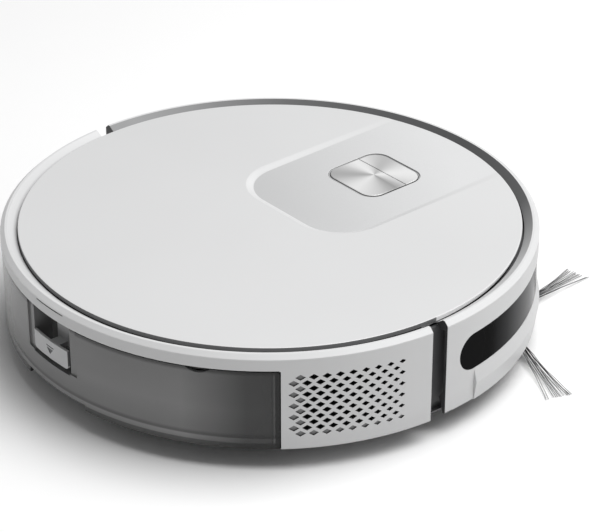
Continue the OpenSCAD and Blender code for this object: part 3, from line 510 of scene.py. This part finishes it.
def new_object(name, bm, materials, smooth_angle=35.0):
    """A mesh object from a bmesh, smooth except at edges sharper than smooth_angle."""
    bmesh.ops.recalc_face_normals(bm, faces=bm.faces)
    limit = math.radians(smooth_angle)
    for face in bm.faces:
        face.smooth = True
    for edge in bm.edges:
        if len(edge.link_faces) == 2 and edge.calc_face_angle(0.0) > limit:
            edge.smooth = False
    mesh = bpy.data.meshes.new(name)
    bm.to_mesh(mesh)
    bm.free()
    obj = bpy.data.objects.new(name, mesh)
    bpy.context.scene.collection.objects.link(obj)
    for material in materials if isinstance(materials, list) else [materials]:
        mesh.materials.append(material)
    return obj


def weigh_normals(obj):
    """Keeps flat faces flat in shading where they meet narrow rounded edges."""
    modifier = obj.modifiers.new("normals", "WEIGHTED_NORMAL")
    modifier.keep_sharp = True
    modifier.weight = 80


def stand_for(obj, node):
    """Lets obj take the place of a CAD node, on that node's body."""
    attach(obj, NODES[node]["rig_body"])
    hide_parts(node)
    return obj


def draw_in(point):
    """Brings the foot of the bumper's slope closer to the lid, the more the nearer its ends."""
    outwards = Vector((point.x, point.y, 0))
    if mm(71.4) < point.z < mm(71.6) and outwards.length < mm(154):
        outwards.normalize()
        point -= outwards * mm(1.2) * (1 - outwards.y)


def rounded(node, width, smooth_angle=40.0, shape=None):
    """A copy of a CAD node with its sharp edges rounded, standing for that node.

    shape, if any, is called with each vertex's place before the rounding, and may move it.
    """
    bm = bmesh.new()
    bm.from_mesh(NODES[node].data)
    bmesh.ops.remove_doubles(bm, verts=bm.verts, dist=1e-7)
    bmesh.ops.dissolve_limit(bm, angle_limit=math.radians(0.6), verts=bm.verts, edges=bm.edges)
    if shape:
        for vert in bm.verts:
            shape(vert.co)
    sharp = [e for e in bm.edges
             if len(e.link_faces) == 2 and e.calc_face_angle(0.0) > math.radians(25)]
    bmesh.ops.bevel(bm, geom=sharp, offset=mm(width), offset_type="OFFSET", segments=2,
                    profile=0.5, affect="EDGES", clamp_overlap=True)
    obj = new_object(node + "_detail", bm, FINISH[node], smooth_angle)
    weigh_normals(obj)
    return stand_for(obj, node)


def paint(obj, material, chosen):
    """Gives a second material to the faces for which chosen(height, radius, bearing, lean) holds.

    Heights and radii are in mm. The bearing is in degrees, clockwise from the front, and the lean
    is how far the face looks outwards, from -1 to 1.
    """
    obj.data.materials.append(material)
    index = len(obj.data.materials) - 1
    for face in obj.data.polygons:
        outwards = Vector((face.center.x, face.center.y, 0))
        bearing = math.degrees(math.atan2(outwards.x, outwards.y)) % 360
        lean = face.normal.dot(outwards.normalized())
        if chosen(face.center.z / mm(1), outwards.length / mm(1), bearing, lean):
            face.material_index = index


def paint_bumper(obj):
    """Painted shade on the slope inside the rim and on the ends, grey on the wall's inside, dark on the
    feet.
    """
    # painted shade on the slope inside the rim
    paint(obj, SLOPE_SHADE, lambda z, r, bearing, lean: z > 71 and lean < -0.25)
    paint(obj, DARK, lambda z, r, bearing, lean: z < 31 and 90.6 < bearing < 269.4)
    paint(obj, LINING, lambda z, r, bearing, lean: z < 70 and lean < -0.5)
    # painted shade: the end faces are dark for the shade in the gap at the bumper's ends
    paint(obj, TRIM, lambda z, r, bearing, lean: z < 70 and 91.4 < bearing < 268.6 and abs(lean) < 0.4)


def paint_casing(obj):
    """Painted shade: dark walls in the grille's slots, grey floors in the blind ones, and a dark sunk
    line.
    """
    def in_grille(z, r, bearing):
        return 20 < z < 70 and BODY_R - 2.5 < r < BODY_R - 0.12 and abs(bearing - 180) > 30

    def in_line(z, r, bearing):
        return 71.5 < z < 72.6 and r < BODY_R - 0.08 and abs(bearing - 180) < 5

    paint(obj, SLOT_SHADE, lambda z, r, bearing, lean: in_grille(z, r, bearing) and lean < 0.7)
    paint(obj, SLOT_FLOOR_SHADE, lambda z, r, bearing, lean: in_grille(z, r, bearing) and lean > 0.9)
    paint(obj, SLOT_SHADE, lambda z, r, bearing, lean: in_line(z, r, bearing))


def paint_latch(obj):
    """Dark strokes in the sunk pictogram."""
    paint(obj, PICTOGRAM, lambda z, r, bearing, lean: 39.5 < z < 46.4 and 161.2 < r < 162.12)


def sweep_tube(bm, path, radii, sides):
    """A closed round tube along points, with a radius for each of them."""
    rings = []
    side = None
    for i, point in enumerate(path):
        ahead = (path[min(i + 1, len(path) - 1)] - path[max(i - 1, 0)]).normalized()
        if side is None:
            side = ahead.orthogonal().normalized()
        side = (side - ahead * side.dot(ahead)).normalized()
        up = ahead.cross(side)
        rings.append([
            bm.verts.new(point + radii[i] * (math.cos(a) * side + math.sin(a) * up))
            for a in (TURN * k / sides for k in range(sides))
        ])
    for low, high in zip(rings, rings[1:]):
        for k in range(sides):
            bm.faces.new((low[k], low[(k + 1) % sides], high[(k + 1) % sides], high[k]))
    bm.faces.new(rings[0][::-1])
    bm.faces.new(rings[-1])


# ---------------------------------------------------------------- lid panel

LID_R, LID_TOP, LID_THICK = mm(152.1), mm(74.7), mm(2.7)
RECESS_HALF, RECESS_REAR, RECESS_CORNER = mm(47.5), mm(11.5), mm(27)
RECESS_DEPTH, BEVEL_WIDTH = mm(2.2), mm(5)
EDGE = mm(0.9)                       # width of the rounded rim
UNDERCUT = mm(1.3)                   # how far the lower edge draws in at the front, off the bumper
HOLE_HALF, HOLE_CORNER = mm(23.8), mm(11.1)   # key opening, over its rounded lip

# Edges of the lid, from the top down: how far out, how far down, and the share of the undercut.
RIM_PROFILE = [(mm(0.4), mm(0.05), 0), (mm(0.7), mm(0.2), 0), (mm(0.86), mm(0.45), 0),
               (EDGE, mm(0.6), 0), (EDGE, mm(1.2), 0), (EDGE, LID_THICK, 1)]
HOLE_PROFILE = [(mm(0.15), mm(0.04), 0), (mm(0.25), mm(0.12), 0), (mm(0.3), mm(0.3), 0),
                (mm(0.3), LID_THICK, 0)]
ROUNDED_DROP = mm(0.3)               # the rounded edge ends here and the wall begins

LID_MATERIALS = [LID, RECESS, LID_EDGE_SHADE, BEZEL]
PANEL, RECESSED, SHADED_RIM_WALL, HOLE_WALL = range(4)   # places in LID_MATERIALS


def quarter(x, y, radius, start, steps):
    """Points on a quarter circle from the angle start in degrees, both ends included."""
    angles = [math.radians(start + 90 * k / steps) for k in range(steps + 1)]
    return [Vector((x + radius * math.cos(a), y + radius * math.sin(a))) for a in angles]


def rounded_square(half, corner, centre_y, steps=12):
    """A closed square outline with round corners, centred on x = 0."""
    reach = half - corner
    points = []
    for cx, cy, start in ((1, 1, 0), (-1, 1, 90), (-1, -1, 180), (1, -1, 270)):
        points += quarter(cx * reach, centre_y + cy * reach, corner, start, steps)
    return points


def inside(p, loop):
    """Whether a point lies within a closed outline."""
    odd = False
    for a, b in zip(loop, loop[1:] + loop[:1]):
        if (a.y > p.y) != (b.y > p.y) and p.x < a.x + (b.x - a.x) * (p.y - a.y) / (b.y - a.y):
            odd = not odd
    return odd


def recess_line(out, reach):
    """The recess's outline, moved outwards, from one end on the circle of radius reach to the other."""
    half, rear, corner = RECESS_HALF + out, RECESS_REAR - out, RECESS_CORNER + out
    front = math.sqrt(reach**2 - half**2)
    straight = rear + corner
    points = [Vector((-half, front + (straight - front) * k / 8)) for k in range(8)]
    points += quarter(-half + corner, straight, corner, 180, 18)
    points += [Vector((-half + corner + 2 * (half - corner) * k / 6, rear)) for k in range(1, 6)]
    points += quarter(half - corner, straight, corner, 270, 18)
    points += [Vector((half, straight + (front - straight) * k / 8)) for k in range(1, 9)]
    return points


def floor_depth(y):
    """The depth of the recess's floor, which rises to the lid's own level at the front."""
    return RECESS_DEPTH * max(0.0, 1 - (y - RECESS_REAR) / (LID_R - RECESS_REAR))


def lid_drop(x, y):
    """How far the lid's surface is sunk at a point."""
    half, rear, corner = RECESS_HALF, RECESS_REAR, RECESS_CORNER
    aside = abs(x)
    if y < rear + corner and aside > half - corner:
        out = math.hypot(aside - half + corner, y - rear - corner) - corner
    else:
        out = max(aside - half, rear - y)
    t = min(max(out / BEVEL_WIDTH, 0.0), 1.0)
    rise = 0.55 * t + 0.45 * t * t * (3 - 2 * t)     # a straight slope with soft ends
    return floor_depth(y) * (1 - rise)


def on_recess_floor(p):
    """Whether a point is on the sunk floor, inside the foot of its bevel."""
    within = abs(p.x) < RECESS_HALF and p.y > RECESS_REAR
    return within and lid_drop(p.x, p.y) > 0.999 * floor_depth(p.y) > 0


class Plan:
    """A flat drawing of points and edges, in which a point that is drawn twice is kept once."""

    def __init__(self):
        self.points, self.edges, self.index = [], [], {}

    def place(self, p):
        key = (round(p.x, 7), round(p.y, 7))
        if key not in self.index:
            self.index[key] = len(self.points)
            self.points.append(Vector(key))
        return self.index[key]

    def draw(self, line, closed=False):
        """Adds a line and returns the numbers of its points."""
        ids = [self.place(p) for p in line]
        pairs = zip(ids, ids[1:] + ids[:1]) if closed else zip(ids, ids[1:])
        self.edges.extend((a, b) for a, b in pairs if a != b)
        return ids


def draw_lid():
    """The lid from above: its points, its faces, and the points along its rim and its opening."""
    inner = LID_R - EDGE
    across_bevel = (0, 0.07, 0.16, 0.3, 0.5, 0.7, 0.84, 0.93, 1)
    lines = [recess_line(BEVEL_WIDTH * t, inner) for t in across_bevel]
    ends = sorted(math.atan2(p.y, p.x) % TURN for line in lines for p in (line[0], line[-1]))
    even = [TURN * k / 240 for k in range(240)]
    angles = sorted([a for a in even if all(abs(a - e) > 0.004 for e in ends)] + ends)
    hole = rounded_square(HOLE_HALF, HOLE_CORNER, KEYS_Y)

    plan = Plan()
    rim = plan.draw([Vector((inner * math.cos(a), inner * math.sin(a))) for a in angles], True)
    for line in lines:
        plan.draw(line)
    mouth = plan.draw(hole, True)
    flat, _, faces, _, _, _ = delaunay_2d_cdt(plan.points, plan.edges, [], 1, 1e-7)
    faces = [ids for ids in faces if not inside(middle_of(flat, ids), hole)]
    return flat, faces, rim, mouth


def middle_of(points, ids):
    return sum((points[i] for i in ids), Vector((0, 0))) / len(ids)


def into_hole(p):
    """From a point on the key opening's outline, the direction into the opening."""
    reach = HOLE_HALF - HOLE_CORNER
    q = Vector((p.x, p.y - KEYS_Y))
    core = Vector((max(-reach, min(reach, q.x)), max(-reach, min(reach, q.y))))
    return -(q - core).normalized()


def hang_wall(bm, top, points, profile, direction, wall_slot):
    """A rounded edge and a wall, in rings of quads that hang from a closed line of the top.

    points are the line's places in plan, and top their vertices. direction and wall_slot give the
    way out and the wall's material slot at a point.
    """
    above = top
    for out, drop, undercut in profile:
        ring = []
        for p in points:
            way = direction(p)
            move = way * (out - undercut * UNDERCUT * max(0.0, way.y))
            height = LID_TOP - lid_drop(p.x, p.y) - drop
            ring.append(bm.verts.new((p.x + move.x, p.y + move.y, height)))
        for k, p in enumerate(points):
            j = (k + 1) % len(points)
            face = bm.faces.new((above[k], above[j], ring[j], ring[k]))
            if drop >= ROUNDED_DROP:
                face.material_index = wall_slot(p)
        above = ring
    return above


def make_lid():
    """The lid panel, with its recess, its rounded rim and the opening for the keys."""
    flat, faces, rim, mouth = draw_lid()
    bm = bmesh.new()
    top = [bm.verts.new((p.x, p.y, LID_TOP - lid_drop(p.x, p.y))) for p in flat]
    for ids in faces:
        face = bm.faces.new([top[i] for i in ids])
        face.material_index = RECESSED if on_recess_floor(middle_of(flat, ids)) else PANEL

    # the rim's wall is painted dark as the shade of the gap where the casing is behind it, and white
    # beside the bumper
    lower_rim = hang_wall(
        bm, [top[i] for i in rim], [flat[i] for i in rim], RIM_PROFILE,
        lambda p: p.normalized(), lambda p: PANEL if p.y > mm(-4) else SHADED_RIM_WALL)
    lower_mouth = hang_wall(
        bm, [top[i] for i in mouth], [flat[i] for i in mouth], HOLE_PROFILE,
        into_hole, lambda p: HOLE_WALL)

    # the underside has the top's faces between the lower edges of the two walls
    under = dict(zip(rim, lower_rim)) | dict(zip(mouth, lower_mouth))
    for ids in faces:
        for i in ids:
            if i not in under:
                x, y = flat[i]
                under[i] = bm.verts.new((x, y, LID_TOP - lid_drop(x, y) - LID_THICK))
    for ids in faces:
        bm.faces.new([under[i] for i in reversed(ids)])
    obj = new_object("lid_detail", bm, LID_MATERIALS, 40.0)
    weigh_normals(obj)
    stand_for(obj, "lid_panel")


make_lid()


# ---------------------------------------------------------------- keys

KEY_HALF, KEY_CORNER = mm(22.1), mm(9.4)
KEY_SPLIT, SPLIT_GAP = mm(90.8), mm(0.22)     # the line between the keys, and half its width
KEY_TOP, KEY_BOTTOM = mm(73.7), mm(71.3)
PLUNGER_R, PLUNGER_FOOT = mm(1.6), mm(66.6)


def clip_outline(points, y, keep_above):
    """The part of a closed outline on one side of a line of constant y."""
    kept = []
    for a, b in zip(points, points[1:] + points[:1]):
        a_in, b_in = (a.y > y) == keep_above, (b.y > y) == keep_above
        if a_in:
            kept.append(a)
        if a_in != b_in:
            t = (y - a.y) / (b.y - a.y)
            kept.append(Vector((a.x + (b.x - a.x) * t, y)))
    return kept


def inset(points, by):
    """A convex outline moved inwards."""
    out = []
    n = len(points)
    for k, p in enumerate(points):
        before = (p - points[k - 1]).normalized()
        after = (points[(k + 1) % n] - p).normalized()
        normal_a, normal_b = Vector((-before.y, before.x)), Vector((-after.y, after.x))
        middle = (normal_a + normal_b).normalized()
        out.append(p + middle * by / max(0.3, middle.dot(normal_a)))
    return out


def make_key(node, keep_above, plunger_y):
    """One key's cap with a rounded edge, and the plunger under it that meets its switch."""
    outline = rounded_square(KEY_HALF, KEY_CORNER, KEYS_Y, 10)
    line = KEY_SPLIT + (SPLIT_GAP if keep_above else -SPLIT_GAP)
    outline = clip_outline(outline, line, keep_above)
    unique = [p for k, p in enumerate(outline) if (p - outline[k - 1]).length > 1e-6]
    bm = bmesh.new()
    rings = [(0.0, KEY_BOTTOM), (0.0, KEY_TOP - mm(0.45)), (mm(0.1), KEY_TOP - mm(0.16)),
             (mm(0.3), KEY_TOP - mm(0.02)), (mm(0.5), KEY_TOP)]
    loops = [[bm.verts.new((p.x, p.y, z)) for p in inset(unique, by)] for by, z in rings]
    for level, (low, high) in enumerate(zip(loops, loops[1:])):
        for k in range(len(low)):
            j = (k + 1) % len(low)
            face = bm.faces.new((low[k], low[j], high[j], high[k]))
            # the wall below the rounded edge is painted black as the shade of the gap round the key
            face.material_index = 1 if level == 0 else 0      # the wall below the rounded edge
    bm.faces.new(loops[0][::-1])
    bm.faces.new(loops[-1])
    plunger = [Vector((0, plunger_y, KEY_BOTTOM + mm(0.2))), Vector((0, plunger_y, PLUNGER_FOOT))]
    sweep_tube(bm, plunger, [PLUNGER_R] * 2, 20)
    obj = new_object(node + "_detail", bm, [SPUN, KEY_GAP_SHADE], 40.0)
    weigh_normals(obj)
    stand_for(obj, node)


make_key("home_key", True, KEYS_Y + mm(14))
make_key("start_key", False, KEYS_Y - mm(10))


# ---------------------------------------------------------------- bristles

BRUSH_X, BRUSH_Y = mm(97), mm(103.4)
TUFT_ROOT, TUFT_REACH, TUFT_SPREAD = mm(18), mm(85.6), math.radians(5.6)
STRAND_R, STRAND_STEPS = mm(0.24), 8
# where each strand stands across its tuft, from -1 to 1
STRAND_SHARES = (-1.0, -0.86, -0.4, -0.26, -0.1, 0.06, 0.2, 0.36, 0.62, 0.74, 0.86, 0.96)


def make_side_bristles(label, side, start_angle):
    """Three tufts of nylon strands that splay from the hub and trail on the floor."""
    rng = random.Random(7 if side > 0 else 11)
    hub = Vector((side * BRUSH_X, BRUSH_Y, 0))
    radii = [STRAND_R * (1 - 0.3 * step / STRAND_STEPS) for step in range(STRAND_STEPS + 1)]
    bm = bmesh.new()
    for arm in range(3):
        middle = math.radians(start_angle + 120 * arm)
        root = Vector((math.cos(middle), math.sin(middle), 0))
        across = Vector((-root.y, root.x, 0))
        for share in STRAND_SHARES:
            fan = middle + TUFT_SPREAD * share + rng.uniform(-0.004, 0.004)
            reach = TUFT_REACH - mm(rng.uniform(0, 1.6))
            high = mm(6.9 + rng.uniform(-0.45, 0.45))
            low = mm(0.75 + rng.uniform(-0.25, 0.3))
            direction = Vector((math.cos(fan), math.sin(fan), 0))
            path = []
            for step in range(STRAND_STEPS + 1):
                t = step / STRAND_STEPS
                along = TUFT_ROOT + (reach - TUFT_ROOT) * t
                droop = high + (low - high) * (1.15 * t - 0.15 * t * t * t)
                bow = mm(1.2) * math.sin(math.pi * t) * rng.uniform(-0.3, 0.3)
                spread = (root * (1 - t) + direction * t).normalized()
                aside = across * (mm(1.9) * share * (1 - t) + bow)
                path.append(hub + spread * along + aside + Vector((0, 0, droop)))
            sweep_tube(bm, path, radii, 5)
    obj = new_object("side_strands_" + label, bm, BRISTLE, 60.0)
    stand_for(obj, "side_bristles_" + label)


make_side_bristles("right", 1, -20)
make_side_bristles("left", -1, 200)

ROLLER_Y, ROLLER_Z, ROLLER_HALF, ROLLER_TIP = mm(-44), mm(20.2), mm(75.6), mm(19.3)
CORE_R = mm(6)
TWIST = math.radians(34)             # how far each row winds round between its middle and its ends


def around_roller(x, angle, radius):
    """A point beside the main brush's axis."""
    return Vector((x, ROLLER_Y + radius * math.cos(angle), ROLLER_Z + radius * math.sin(angle)))


def row_angle(first, x):
    """Rows are chevrons: they lean the same way from the middle towards both ends."""
    return math.radians(first) + TWIST * (abs(x) / ROLLER_HALF - 0.5)


def make_roller_bristles():
    """Three chevron rows of tufts, each a bunch of strands that opens towards its tips."""
    rng = random.Random(3)
    bm = bmesh.new()
    tufts, round_strands = 44, 8
    end = ROLLER_HALF - mm(2)
    for row in range(3):
        for k in range(tufts):
            x = -end + 2 * end * k / (tufts - 1)
            angle = row_angle(30 + 120 * row, x)
            for strand in range(round_strands + 1):
                turn = TURN * strand / round_strands
                central = strand == round_strands
                foot, tip = (0.0, 0.0) if central else (mm(0.45), mm(1.25))
                jog = rng.uniform(-0.02, 0.02)
                low = around_roller(x + foot * math.cos(turn),
                                    angle + foot * math.sin(turn) / CORE_R, mm(5.8))
                top = around_roller(x + tip * math.cos(turn),
                                    angle + tip * math.sin(turn) / ROLLER_TIP + jog,
                                    ROLLER_TIP - mm(rng.uniform(0.0, 0.5)))
                sweep_tube(bm, [low, low.lerp(top, 0.55), top], [mm(0.3), mm(0.27), mm(0.14)], 4)
    stand_for(new_object("roller_tufts", bm, BRISTLE, 60.0), "roller_bristles")


def make_roller_blades():
    """Three chevron rubber blades with a thick root and a thin tip."""
    bm = bmesh.new()
    steps = 60
    half_profile = [(mm(5.6), mm(1.5)), (mm(7.5), mm(1.1)), (mm(9), mm(0.75)),
                    (mm(18.2), mm(0.5)), (mm(18.6), mm(0.2))]       # radius, half thickness
    outline = half_profile + [(r, -h) for r, h in reversed(half_profile)]
    for row in range(3):
        rings = []
        for k in range(steps + 1):
            x = -ROLLER_HALF + 2 * ROLLER_HALF * k / steps
            angle = row_angle(90 + 120 * row, x)
            rings.append([bm.verts.new(around_roller(x, angle + h / r, r)) for r, h in outline])
        for low, high in zip(rings, rings[1:]):
            for j in range(len(outline)):
                after = (j + 1) % len(outline)
                bm.faces.new((low[j], low[after], high[after], high[j]))
        bm.faces.new(rings[0][::-1])
        bm.faces.new(rings[-1])
    stand_for(new_object("roller_fins", bm, BLADE, 35.0), "roller_blades")


make_roller_bristles()
make_roller_blades()


# ---------------------------------------------------------------- springs

STEPS_A_TURN = 20


def make_spring(name, node, start, end, radius, wire, turns):
    """A coil spring between two points, with one closed turn at each end."""
    axis = end - start
    along = axis.normalized()
    side = along.orthogonal().normalized()
    up = along.cross(side)
    length = axis.length - 2 * wire
    path = []
    for k in range((turns + 2) * STEPS_A_TURN + 1):
        turn = k / STEPS_A_TURN
        rise = min(max((turn - 1) / turns, 0.0), 1.0)
        a = TURN * turn
        path.append(start + along * (wire + length * rise)
                    + (radius - wire) * (math.cos(a) * side + math.sin(a) * up))
    bm = bmesh.new()
    sweep_tube(bm, path, [wire * 0.5] * len(path), 8)
    return stand_for(new_object(name, bm, STEEL, 60.0), node)


for label, side in (("left", -1), ("right", 1)):
    low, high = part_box("suspension_spring_" + label)
    middle = (low + high) / 2
    make_spring("suspension_coil_" + label, "suspension_spring_" + label,
                Vector((middle.x, middle.y, low.z)), Vector((middle.x, middle.y, high.z)),
                radius=mm(3.4), wire=mm(0.8), turns=6)
    bearing = math.radians(24 * side)
    out = Vector((math.sin(bearing), math.cos(bearing), 0))
    foot = out * mm(153) + Vector((0, 0, mm(66)))
    coil = make_spring("bumper_coil_" + label, "bumper_spring_" + label, foot,
                       foot + out * mm(6.9), radius=mm(2.6), wire=mm(0.6), turns=4)
    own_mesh(coil)

low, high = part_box("latch_spring")
middle = (low + high) / 2
coil = make_spring("latch_coil", "latch_spring", Vector((middle.x, middle.y, low.z)),
                   Vector((middle.x, middle.y, high.z)), radius=mm(2), wire=mm(0.5), turns=5)
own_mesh(coil)


# ---------------------------------------------------------------- carried-over CAD nodes

# How far the sharp edges of these nodes are rounded, in mm.
ROUNDING = {
    "bumper_shell": 0.45, "upper_casing": 0.3, "bin_shell": 0.4, "bin_latch": 0.6,
    "control_bezel": 0.3, "sensor_window": 0.15, "base_chassis": 0.3, "bin_lid": 0.3,
    "battery_cover": 0.4, "brush_guard": 0.4, "caster_fork": 0.4, "caster_wheel": 0.5,
    "side_brush_hub_left": 0.6, "side_brush_hub_right": 0.6, "wheel_hub_left": 0.5,
    "wheel_hub_right": 0.5, "charging_contacts": 0.6, "caster_socket": 0.5,
    "inlet_flap": 0.4, "filter_frame": 0.5, "wheel_tyre_left": 0.35, "wheel_tyre_right": 0.35,
}

PAINTERS = {"upper_casing": paint_casing, "bin_latch": paint_latch}

for node, finish in FINISH.items():
    if node == "bumper_shell":
        paint_bumper(rounded(node, ROUNDING[node], smooth_angle=9.0, shape=draw_in))
    elif node in ROUNDING:
        made = rounded(node, ROUNDING[node])
        if node in PAINTERS:
            PAINTERS[node](made)
    else:
        NODES[node].data.materials.clear()
        NODES[node].data.materials.append(finish)


# ---------------------------------------------------------------- floor

def make_floor():
    """A plain pale floor, large enough for every view."""
    bm = bmesh.new()
    bmesh.ops.create_grid(bm, x_segments=1, y_segments=1, size=6.0)
    m = Nodes("floor")
    m.link(m.ramp(m.noise(3.0), [(0.3, (0.97, 0.97, 0.97)), (0.7, (0.98, 0.98, 0.98))]),
           "Base Color")
    m.set(Roughness=0.75)
    floor = new_object("floor", bm, m.mat)


make_floor()
